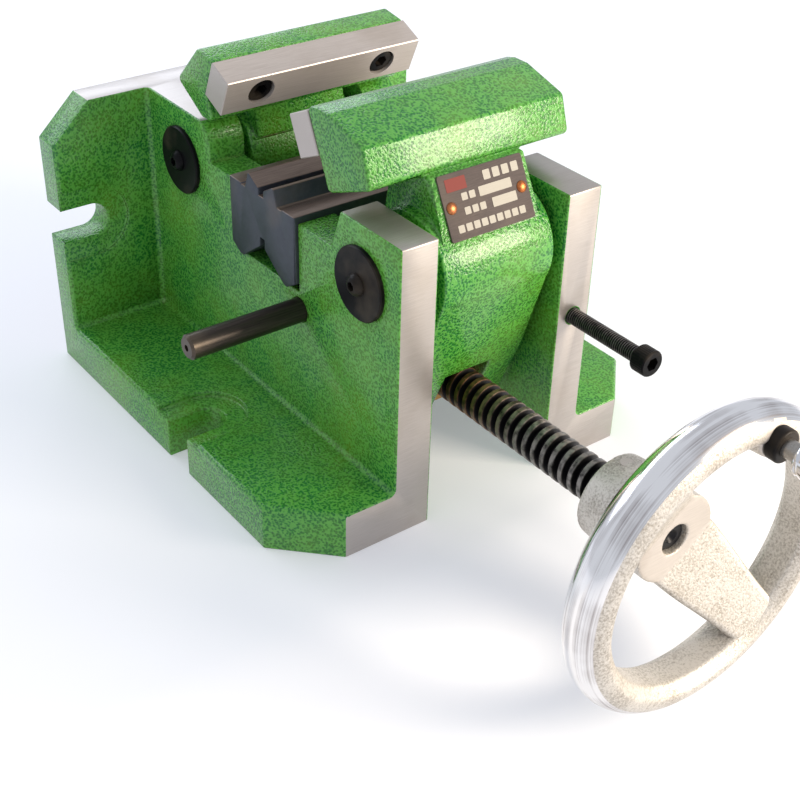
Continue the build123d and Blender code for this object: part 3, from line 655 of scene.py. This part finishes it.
def as_object(name: str, shape: BMesh, smooth_below: float = 35.0) -> bpy.types.Object:
    """Turn a mesh into a piece of the scene.

    Args:
        name: Name of the piece.
        shape: Its mesh, which is freed.
        smooth_below: Edges that turn less than this many degrees are shaded smooth.

    Returns:
        The new object.
    """
    mesh = bpy.data.meshes.new(name)
    shape.to_mesh(mesh)
    shape.free()
    mesh.shade_smooth()
    mesh.set_sharp_from_angle(angle=math.radians(smooth_below))
    piece = bpy.data.objects.new(name, mesh)
    bpy.context.scene.collection.objects.link(piece)
    return piece


def copied_node(node: str) -> BMesh:
    """Copy a CAD node's shape and join its loose triangles into whole faces.

    Args:
        node: Name of the node.

    Returns:
        The copy.
    """
    shape = bmesh.new()
    shape.from_mesh(bpy.data.objects[node].data)
    bmesh.ops.remove_doubles(shape, verts=shape.verts, dist=0.002 * MM)
    bmesh.ops.dissolve_limit(shape, angle_limit=math.radians(0.3), verts=shape.verts, edges=shape.edges)
    return shape


def remeshed(shape: BMesh, voxel: float, rounds: int) -> BMesh:
    """Fuse overlapping shapes into one skin and relax it, as sand casting does.

    Args:
        shape: Overlapping closed shapes, which are freed.
        voxel: Size of the new faces.
        rounds: How often the skin is smoothed.

    Returns:
        The fused mesh.
    """
    rough = as_object("rough", shape)
    skin = rough.modifiers.new("skin", "REMESH")
    skin.mode = "VOXEL"
    skin.voxel_size = voxel
    graph = bpy.context.evaluated_depsgraph_get()
    fused = bmesh.new()
    fused.from_object(rough, graph)
    old = rough.data
    bpy.data.objects.remove(rough)
    bpy.data.meshes.remove(old)
    for _ in range(rounds):
        bmesh.ops.smooth_vert(
            fused, verts=fused.verts, factor=0.5, use_axis_x=True, use_axis_y=True, use_axis_z=True
        )
    return fused


def dress(
    piece: bpy.types.Object,
    surfaces: Sequence[Surface],
    choose: Callable[[Vector, Vector], int] | None = None,
) -> None:
    """Give a new piece its finishes.

    Args:
        piece: Piece to dress.
        surfaces: Finishes, one for each material slot.
        choose: Picks a slot from a face's centre and normal; the first slot if left out.
    """
    piece.data.materials.clear()
    for surface in surfaces:
        piece.data.materials.append(surface.material())
    if choose:
        for polygon in piece.data.polygons:
            polygon.material_index = choose(polygon.center, polygon.normal)


def middle(node: str) -> Vector:
    """Return the middle of a CAD node's box."""
    low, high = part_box(node)
    return (low + high) / 2


def place_piece(piece: bpy.types.Object, body: str, nodes: Sequence[str]) -> None:
    """Hang a piece on its body, and stand it in for CAD nodes.

    Args:
        piece: Piece to place.
        body: Body that it rides on.
        nodes: CAD nodes that it replaces.
    """
    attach(piece, body)
    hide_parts(*nodes)
    LOG.info("%s rides on %s, %d faces", piece.name, body, len(piece.data.polygons))


def refinish(nodes: Sequence[str], surface: Surface) -> None:
    """Give CAD nodes that keep their shape a better material.

    Args:
        nodes: Names of the nodes.
        surface: Their finish.
    """
    for node in nodes:
        for slot in bpy.data.objects[node].material_slots:
            slot.material = surface.material()
        LOG.info("%s is finished in %s", node, surface.value.name)


# ---- sub-assemblies
@dataclass
class Body:
    """The green casting with the V-block in its seat."""

    edge: float = 0.8 * MM
    block_edge: float = 0.5 * MM
    skim: float = 0.3 * MM
    land_depth: float = 9 * MM
    least_milled: float = 0.9

    def casting(self) -> None:
        """Build the casting: enamelled, with milled front, top, back and underside."""
        low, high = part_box("body_casting")
        shape = copied_node("body_casting")
        soften(shape, self.edge)
        keep_inside(shape, low, high)
        piece = as_object("cast_body", shape)

        reach = self.edge + self.skim

        def choose(centre: Vector, normal: Vector) -> int:
            """Pick the milled finish on the faces that a cutter has passed over.

            Args:
                centre: Centre of the face.
                normal: Its normal.

            Returns:
                The number of its material slot.
            """
            cuts = (
                (centre.y < low.y + reach, -normal.y),
                (centre.y > high.y - reach, normal.y),
                (centre.z > high.z - reach, normal.z),
                (centre.z < low.z + reach, -normal.z),
            )
            facing = sum(max(turn, 0.0) ** 2 for near, turn in cuts if near)
            return int(facing > self.least_milled)

        dress(piece, (Surface.ENAMEL, Surface.MILLED_IRON), choose)
        place_piece(piece, "body", ("body_casting",))

    def block(self) -> None:
        """Build the V-block: blued, with ground lands."""
        shape = copied_node("v_block")
        soften(shape, self.block_edge, 25.0)
        piece = as_object("reversible_v_block", shape)
        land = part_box("v_block")[1].z - self.land_depth

        def choose(centre: Vector, normal: Vector) -> int:
            """Pick the brown finish on the upward faces of the lands."""
            return int(normal.z > 0.5 and centre.z > land)

        dress(piece, (Surface.BLUED_STEEL, Surface.BROWN_LAND), choose)
        place_piece(piece, "body", ("v_block",))

    def build(self) -> None:
        """Build the casting, the block and what the body holds."""
        self.casting()
        self.block()
        refinish(("front_retaining_discs", "rear_retaining_discs"), Surface.BLACK_OXIDE)
        refinish(("front_disc_screws", "rear_disc_screws"), Surface.BLACK_OXIDE)
        refinish(("front_pivot_shaft", "rear_pivot_shaft"), Surface.TURNED_STEEL)
        refinish(("front_spacer_rings", "rear_spacer_rings"), Surface.BLACK_OXIDE)
        refinish(("centre_bush",), Surface.BRONZE)


@dataclass
class Jaw:
    """One swinging jaw: its cast lever, ground plate, screws and bushes."""

    side: str
    edge: float = 1.2 * MM

    def lever(self) -> None:
        """Build the lever with the soft edges of a painted casting."""
        node = f"{self.side}_jaw_lever"
        shape = copied_node(node)
        soften(shape, self.edge, 30.0, 3)
        keep_inside(shape, *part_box(node))
        piece = as_object(f"{self.side}_lever_casting", shape)
        dress(piece, (Surface.LEVER_ENAMEL,))
        place_piece(piece, f"{self.side}_jaw", (node,))

    def build(self) -> None:
        """Build the lever and finish the pieces it carries."""
        self.lever()
        refinish((f"{self.side}_jaw_plate",), Surface.GROUND_STEEL)
        refinish((f"{self.side}_jaw_screws",), Surface.BLACK_OXIDE)
        refinish((f"{self.side}_pivot_bushes",), Surface.BRONZE)
        refinish((f"{self.side}_nut",), Surface.BRONZE)


@dataclass
class MakersPlate:
    """Riveted plate with blank fields and no lettering."""

    slope: float = math.radians(62.4)
    thickness: float = 0.9 * MM
    proud: float = 0.12 * MM
    width: float = 46.6 * MM
    height: float = 28.8 * MM
    rivet_x: float = 19.5 * MM
    rivet_radius: float = 2.7 * MM
    shank_radius: float = 1.5 * MM
    dome_height: float = 1.3 * MM
    fields: list[tuple[float, float, float, float]] = field(
        default_factory=lambda: [
            *[(2.5 + 5.2 * place, 9.6, 3.8, 4.2) for place in range(4)],
            *[(-11.5 + 4.2 * place, 3.4, 3.2, 3.2) for place in range(2)],
            (5.5, 3.4, 18.0, 4.2),
            *[(-11.5 + 4.2 * place, -2.8, 3.2, 3.2) for place in range(3)],
            (9.0, -2.8, 13.5, 4.2),
            *[(-17.0 + 4.25 * place, -9.6, 3.3, 3.3) for place in range(9)],
        ]
    )
    badge: tuple[float, float, float, float] = (-14.5, 9.4, 11.0, 5.6)

    def stand(self) -> Matrix:
        """Return the matrix from the plate's own plane to its place on the lever."""
        return Matrix.Translation(middle("nameplate")) @ Matrix.Rotation(self.slope, 4, "X")

    def slab(
        self, box: tuple[float, float, float, float], bottom: float, top: float, corner: float
    ) -> BMesh:
        """Make a thin rounded slab.

        Args:
            box: Centre x, centre y, width and height, in metres.
            bottom: Height of its underside.
            top: Height of its face.
            corner: Radius of its corners.

        Returns:
            A closed mesh.
        """
        shape = bmesh.new()
        bmesh.ops.create_cube(shape, size=1.0)
        bmesh.ops.scale(shape, vec=(box[2], box[3], top - bottom), verts=shape.verts)
        bmesh.ops.translate(shape, vec=(box[0], box[1], (top + bottom) / 2), verts=shape.verts)
        upright = [e for e in shape.edges if abs((e.verts[0].co - e.verts[1].co).z) > 0]
        soften(shape, corner, steps=4, chosen=upright)
        return shape

    def plate(self) -> None:
        """Build the plate and its proud fields."""
        face = self.thickness / 2
        base = self.slab((0, 0, self.width, self.height), -face, face, 1.2 * MM)
        soften(base, 0.15 * MM, 60.0)
        parts = [(base, Matrix.Identity(4))]
        for x, y, wide, high in [*self.fields, self.badge]:
            box = (x * MM, y * MM, wide * MM, high * MM)
            parts.append((self.slab(box, 0.0, face + self.proud, 0.4 * MM), Matrix.Identity(4)))
        shape = joined(parts)
        piece = as_object("makers_plate", shape)
        badge_x = (self.badge[0] + self.badge[2] / 2) * MM
        badge_y = (self.badge[1] - self.badge[3] / 2) * MM

        def choose(centre: Vector, normal: Vector) -> int:
            """Pick bare metal on the fields and red lacquer on the badge.

            Args:
                centre: Centre of the face.
                normal: Its normal.

            Returns:
                The number of its material slot.
            """
            if centre.z <= face + 0.3 * self.proud:
                return 0
            return 2 if centre.x < badge_x and centre.y > badge_y else 1

        dress(piece, (Surface.ETCHED, Surface.BARE_FIELD, Surface.RED_LACQUER), choose)
        piece.data.transform(self.stand())
        place_piece(piece, "front_jaw", ("nameplate",))

    def rivets(self) -> None:
        """Build the two domed rivets."""
        face = self.thickness / 2
        dome = [
            (self.rivet_radius * math.cos(turn), face + self.dome_height * math.sin(turn))
            for turn in [step * math.pi / 16 for step in range(9)]
        ]
        shank = [(self.shank_radius, -face), (self.shank_radius, face - 0.1 * MM)]
        outline = [*shank, *dome[:-1], (0.0, dome[-1][1]), (0.0, -face)]
        shapes = [
            (lathe(outline, 40), self.stand() @ Matrix.Translation((x, 0, 0)))
            for x in (-self.rivet_x, self.rivet_x)
        ]
        piece = as_object("plate_rivets", joined(shapes), 60.0)
        dress(piece, (Surface.COPPER,))
        place_piece(piece, "front_jaw", ("nameplate_rivets",))

    def build(self) -> None:
        """Build the plate and its rivets."""
        self.plate()
        self.rivets()


@dataclass
class ScrewDrive:
    """The double-handed lead screw with its collars and nuts."""

    pitch: float = 6 * MM
    depth: float = 3 * MM
    bare_half: float = 22 * MM
    relief_end: float = 26 * MM
    relief_radius: float = 8 * MM
    journal_radius: float = 7 * MM
    centre_hole: float = 2 * MM

    def screw(self) -> None:
        """Build the screw: right-hand thread in front, left-hand behind, journal in the hub."""
        low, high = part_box("lead_screw")
        radius = (high.x - low.x) / 2
        axis_z = middle("lead_screw").z
        hub_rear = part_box("handwheel")[1].y
        front = threaded_rod(radius, self.depth, self.pitch, -self.relief_end - hub_rear)
        rear = threaded_rod(radius, self.depth, self.pitch, high.y - self.relief_end, -1)
        neck, end, half = self.relief_radius, self.relief_end, self.bare_half
        side = [(radius, half), (neck, half), (neck, end), (0.0, end)]
        waist = lathe([(r, -z) for r, z in reversed(side)] + side)
        soften(waist, 0.4 * MM)
        edge = 1 * MM
        journal = lathe(
            [
                (0.0, low.y + 2.5 * MM),
                (self.centre_hole, low.y + 1.2 * MM),
                (self.centre_hole * 1.6, low.y),
                (self.journal_radius - edge, low.y),
                (self.journal_radius, low.y + edge),
                (self.journal_radius, hub_rear),
                (0.0, hub_rear),
            ]
        )
        shape = joined(
            [
                (front, along_y(0, hub_rear, axis_z)),
                (rear, along_y(0, self.relief_end, axis_z)),
                (waist, along_y(0, 0, axis_z)),
                (journal, along_y(0, 0, axis_z)),
            ]
        )
        piece = as_object("double_lead_screw", shape)
        dress(piece, (Surface.SCREW_THREAD,))
        place_piece(piece, "screw", ("lead_screw",))

    def build(self) -> None:
        """Build the screw and finish its small parts."""
        self.screw()
        refinish(("thrust_collars",), Surface.TURNED_STEEL)
        refinish(("wheel_pin",), Surface.FACED_ALUMINIUM)
        refinish(("collar_set_screws",), Surface.BLACK_OXIDE)


@dataclass
class Handwheel:
    """Two-spoke cast wheel with a buffed rim, and its revolving handle."""

    plane_y: float = -236.5 * MM
    rim_outer: float = 72.3 * MM
    rim_shoulder: float = 61.0 * MM
    rim_inner: float = 56.5 * MM
    rim_half_depth: float = 11 * MM
    rim_flat_half: float = 6.5 * MM
    hub_radius: float = 21.0 * MM
    hub_front: float = -221.5 * MM
    bore: float = 7.2 * MM
    spoke_angle: float = math.radians(126.5)
    spoke_root: float = 18 * MM
    spoke_tip: float = 12.5 * MM
    spoke_thickness: float = 10.5 * MM
    spoke_start: float = 11 * MM
    spoke_overlap: float = 3 * MM
    spoke_setback: float = 9 * MM
    handle_radius: float = 60 * MM
    handle_angle: float = math.radians(73)
    boss_radius: float = 8.5 * MM
    boss_face: float = -246 * MM
    voxel: float = 0.75 * MM

    def rim_outline(self, arc_steps: int = 28) -> list[tuple[float, float]]:
        """Draw the rim's section: round outside, flat inside.

        Args:
            arc_steps: Segments of the round side.

        Returns:
            Its (radius, y) corners.
        """
        rise = self.rim_outer - self.rim_shoulder
        round_radius = (self.rim_half_depth**2 + rise**2) / (2 * rise)
        centre = self.rim_outer - round_radius
        reach = math.atan2(self.rim_half_depth, self.rim_shoulder - centre)
        arc = [
            (centre + round_radius * math.cos(turn), round_radius * math.sin(turn))
            for turn in [reach * (2 * step / arc_steps - 1) for step in range(arc_steps + 1)]
        ]
        flat = [(self.rim_inner, self.rim_flat_half), (self.rim_inner, -self.rim_flat_half)]
        return [(radius, self.plane_y + y) for radius, y in [*arc, *flat]]

    def spoke(self, angle: float) -> BMesh:
        """Make one spoke that sweeps forwards from the hub to the rim.

        Args:
            angle: Direction from the axis, counted from +X towards +Z.

        Returns:
            A closed mesh about the wheel's axis, with Y as it is in the frame.
        """
        shape = bmesh.new()
        bmesh.ops.create_cube(shape, size=1.0)
        lengthwise = [e for e in shape.edges if abs((e.verts[0].co - e.verts[1].co).x) > 0.5]
        bmesh.ops.subdivide_edges(shape, edges=lengthwise, cuts=14, use_grid_fill=True)
        end = self.rim_inner + self.spoke_overlap
        for vert in shape.verts:
            share = vert.co.x + 0.5
            ease = share * share * (3 - 2 * share)
            half = self.spoke_root + (self.spoke_tip - self.spoke_root) * ease
            middle_y = self.hub_front + self.spoke_thickness / 2
            drop = self.plane_y - self.spoke_setback + self.spoke_thickness / 2 - middle_y
            vert.co = Vector(
                (
                    self.spoke_start + (end - self.spoke_start) * share,
                    middle_y + drop * share**1.15 + vert.co.y * self.spoke_thickness,
                    2 * half * vert.co.z,
                )
            )
        soften(shape, 1.8 * MM, 40.0, 3)
        turn = Matrix.Rotation(-angle, 4, "Y")
        bmesh.ops.transform(shape, matrix=turn, verts=shape.verts)
        return shape

    def wheel(self) -> None:
        """Build the wheel: sandy hub and spokes, faced hub, buffed rim."""
        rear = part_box("handwheel")[1].y
        axis_z = middle("handwheel").z
        up = Matrix.Translation((0, 0, axis_z))
        hub = lathe(
            [
                (self.bore, self.hub_front),
                (self.hub_radius, self.hub_front),
                (self.hub_radius, rear - 12 * MM),
                (self.hub_radius - 1.2 * MM, rear),
                (self.bore, rear),
            ]
        )
        handle_x = self.handle_radius * math.cos(self.handle_angle)
        handle_z = axis_z + self.handle_radius * math.sin(self.handle_angle)
        boss = lathe(
            [
                (0.0, self.boss_face),
                (self.boss_radius - 0.8 * MM, self.boss_face),
                (self.boss_radius, self.plane_y),
                (0.0, self.plane_y),
            ],
            48,
        )
        core = joined(
            [
                (hub, along_y(0, 0, axis_z)),
                (self.spoke(self.spoke_angle), up),
                (self.spoke(self.spoke_angle + math.pi), up),
                (boss, along_y(handle_x, 0, handle_z)),
            ]
        )
        skin = remeshed(core, self.voxel, 3)
        rim = lathe(self.rim_outline(), 160)
        soften(rim, 1.2 * MM, 25.0, 3)
        shape = joined([(skin, Matrix.Identity(4)), (rim, along_y(0, 0, axis_z))])
        piece = as_object("cast_handwheel", shape, 50.0)
        buffed_from = self.rim_shoulder - 1.5 * MM
        boss_reach = self.boss_radius + 0.8 * MM

        def choose(centre: Vector, normal: Vector) -> int:
            """Pick buffed metal outside the rim and a faced finish on the hub's ends.

            Args:
                centre: Centre of the face.
                normal: Its normal.

            Returns:
                The number of its material slot.
            """
            radius = math.hypot(centre.x, centre.z - axis_z)
            if radius < self.hub_radius - 0.5 * MM and abs(normal.y) > 0.93:
                near_front = abs(centre.y - self.hub_front) < 0.7 * MM
                return 1 if near_front or centre.y > rear - 0.7 * MM else 0
            away = Vector((centre.x, 0, centre.z - axis_z)).normalized()
            near_boss = math.hypot(centre.x - handle_x, centre.z - handle_z) < boss_reach
            if near_boss and centre.y < self.plane_y - 8 * MM:
                return 1
            buffed = radius > buffed_from and normal.dot(away) > -0.5 and normal.y > -0.8
            return 2 if buffed else 0

        dress(
            piece, (Surface.CAST_ALUMINIUM, Surface.FACED_ALUMINIUM, Surface.BUFFED_ALUMINIUM), choose
        )
        place_piece(piece, "screw", ("handwheel",))

    def grip(self) -> None:
        """Build the chromed revolving grip, hollow over its stud."""
        low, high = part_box("handle_grip")
        long = high.y - low.y
        most = (high.x - low.x) / 2
        bore = 5.1 * MM
        neck = 6.4 * MM
        cup = 7.0 * MM
        steps = 26
        swell = [
            (
                neck + (most - neck) * math.sin(math.pi * min(share / 1.32, 1.0)) ** 0.75,
                -long * share,
            )
            for share in [step / steps for step in range(1, steps)]
        ]
        outline = [
            (bore, 0.0),
            (neck + 0.6 * MM, 0.0),
            (neck + 1.1 * MM, -1.2 * MM),
            (neck + 0.6 * MM, -2.6 * MM),
            *[(max(radius, neck + 0.2 * MM), y) for radius, y in swell],
            (swell[-1][0] - 1.0 * MM, -long),
            (cup, -long),
            (cup, -long + 12 * MM),
            (bore, -long + 12 * MM),
        ]
        centre = middle("handle_grip")
        shape = joined([(lathe(outline, 64), along_y(centre.x, high.y, centre.z))])
        piece = as_object("revolving_grip", shape, 60.0)
        dress(piece, (Surface.CHROME,))
        place_piece(piece, "grip", ("handle_grip",))

    def build(self) -> None:
        """Build the wheel and its handle."""
        self.wheel()
        self.grip()
        refinish(("handle_stud",), Surface.TURNED_STEEL)
        refinish(("handle_lock_collar",), Surface.BLACK_OXIDE)


@dataclass
class StopRod:
    """The stop rod and the cap screw that clamps it."""

    head_radius: float = 6.5 * MM
    head_height: float = 8 * MM
    socket_across: float = 6 * MM
    socket_depth: float = 4 * MM
    pitch: float = 1.25 * MM
    depth: float = 0.68 * MM
    steps: int = 22
    shank_radius: float = 3.95 * MM
    head_steps: int = 72
    knurl: float = 0.975

    def clamp_screw(self) -> None:
        """Build the fully threaded cap screw with a knurled head and a hex socket."""
        low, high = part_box("rod_clamp_screw")
        centre = middle("rod_clamp_screw")
        socket = self.socket_across / math.sqrt(3)
        head = lathe(
            [
                (0.0, self.head_height - self.socket_depth),
                (socket, self.head_height - self.socket_depth),
                (socket, self.head_height),
                (self.head_radius - 0.6 * MM, self.head_height),
                (self.head_radius, self.head_height - 0.6 * MM),
                (self.head_radius, 0.3 * MM),
                (self.head_radius - 0.3 * MM, 0.0),
                (0.0, 0.0),
            ],
            self.head_steps,
        )
        for vert in head.verts:
            radius = math.hypot(vert.co.x, vert.co.y)
            angle = math.atan2(vert.co.y, vert.co.x)
            share = 1.0
            if abs(radius - socket) < 0.01 * MM:
                share = self.socket_across / 2 / math.cos(angle % SIXTH_TURN - SIXTH_TURN / 2) / radius
            elif radius > self.head_radius - 0.1 * MM and round(angle / FULL_TURN * self.head_steps) % 2:
                share = self.knurl
            vert.co = Vector((vert.co.x * share, vert.co.y * share, vert.co.z))
        length = high.y - low.y - self.head_height
        shank = threaded_rod(self.shank_radius, self.depth, self.pitch, length, 1, self.steps)
        seat_y = low.y + self.head_height
        shape = joined(
            [
                (head, along_y(centre.x, seat_y, centre.z, -1)),
                (shank, along_y(centre.x, seat_y, centre.z)),
            ]
        )
        piece = as_object("rod_cap_screw", shape, 30.0)
        shank_from = seat_y + 0.05 * MM

        def choose(centre: Vector, normal: Vector) -> int:
            """Pick the thread finish behind the head."""
            return int(centre.y > shank_from)

        dress(piece, (Surface.BLACK_OXIDE, Surface.CAP_THREAD), choose)
        place_piece(piece, "clamp_screw", ("rod_clamp_screw",))

    def build(self) -> None:
        """Build the cap screw and finish the rod."""
        self.clamp_screw()
        refinish(("stop_rod",), Surface.BROWNED_ROD)


# ---- studio
@dataclass
class Studio:
    """Pale table that falls away before the handwheel, soft lights and the camera."""

    camera_place: tuple[float, float, float] = (-0.3569, -0.4974, 0.4093)
    heading: float = math.radians(37.62)
    dip: float = math.radians(33.97)
    roll: float = math.radians(1.57)
    lens: float = 61.9
    edge_y: float = -0.125
    foot_y: float = -0.225
    drop: float = 0.035
    reach: float = 2.2
    aim: tuple[float, float, float] = (0.0, -0.05, 0.08)

    def camera(self) -> None:
        """Set the camera."""
        data = bpy.data.cameras.new("camera")
        data.lens = self.lens
        data.sensor_width = 36.0
        data.clip_start = 0.01
        lens = bpy.data.objects.new("camera", data)
        lens.matrix_world = (
            Matrix.Translation(self.camera_place)
            @ Matrix.Rotation(-self.heading, 4, "Z")
            @ Matrix.Rotation(math.pi / 2 - self.dip, 4, "X")
            @ Matrix.Rotation(self.roll, 4, "Z")
        )
        bpy.context.scene.collection.objects.link(lens)
        bpy.context.scene.camera = lens

    def table(self) -> None:
        """Lay the pale table: level under the vise, then a gentle slope to a lower level."""
        shape = bmesh.new()
        steps = 24
        slope = [
            (
                self.edge_y + (self.foot_y - self.edge_y) * step / steps,
                -self.drop * (1 - math.cos(math.pi * step / steps)) / 2,
            )
            for step in range(steps + 1)
        ]
        line = [(self.reach, 0.0), *slope, (-self.reach, -self.drop)]
        ring = [shape.verts.new((-self.reach, y, z)) for y, z in line]
        edges = [shape.edges.new(pair) for pair in zip(ring, ring[1:])]
        swept = bmesh.ops.extrude_edge_only(shape, edges=edges)
        moved = [item for item in swept["geom"] if isinstance(item, BMVert)]
        bmesh.ops.translate(shape, vec=(2 * self.reach, 0, 0), verts=moved)
        bmesh.ops.recalc_face_normals(shape, faces=shape.faces)
        table = as_object("table", shape, 180.0)
        paper = bpy.data.materials.new("white_table")
        paper.use_nodes = True
        shader = paper.node_tree.nodes["Principled BSDF"]
        shader.inputs["Base Color"].default_value = srgb("#cfd0d3")
        shader.inputs["Roughness"].default_value = 0.9
        shader.inputs["Emission Color"].default_value = srgb("#f4f5fb")
        shader.inputs["Emission Strength"].default_value = 0.32
        table.data.materials.append(paper)

    def light(
        self, name: str, place: Sequence[float], size: Sequence[float], power: float, colour: str
    ) -> None:
        """Hang a soft light aimed at the vise.

        Args:
            name: Name of the light.
            place: Where it hangs.
            size: Its width and height.
            power: Its power in watts.
            colour: Its colour.
        """
        data = bpy.data.lights.new(name, "AREA")
        data.shape = "RECTANGLE"
        data.size, data.size_y = size
        data.energy = power
        data.color = srgb(colour)[:3]
        lamp = bpy.data.objects.new(name, data)
        lamp.visible_camera = False
        turn = (Vector(self.aim) - Vector(place)).to_track_quat("-Z", "Y")
        lamp.matrix_world = Matrix.Translation(place) @ turn.to_matrix().to_4x4()
        bpy.context.scene.collection.objects.link(lamp)

    def lights(self) -> None:
        """Set a white room, a key light from the front right and a window behind."""
        world = bpy.data.worlds.new("studio")
        world.use_nodes = True
        backdrop = world.node_tree.nodes["Background"]
        backdrop.inputs["Color"].default_value = srgb("#eef2fb")
        backdrop.inputs["Strength"].default_value = 0.8
        bpy.context.scene.world = world
        self.light("key", (0.72, -1.1, 0.52), (0.56, 0.56), 23, "#fff1dc")
        self.light("window", (-0.1, 1.15, 0.78), (1.7, 0.6), 10, "#e9f1ff")

    def build(self) -> None:
        """Set up everything that isn't the vise."""
        bpy.context.scene.view_settings.view_transform = "Standard"
        self.camera()
        self.table()
        self.lights()


def main() -> None:
    """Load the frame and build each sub-assembly."""
    logging.basicConfig(level=logging.INFO, format="%(name)s: %(message)s")
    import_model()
    Studio().build()
    Body().build()
    Jaw("front").build()
    Jaw("rear").build()
    MakersPlate().build()
    ScrewDrive().build()
    Handwheel().build()
    StopRod().build()


if __name__ == "__main__":
    main()
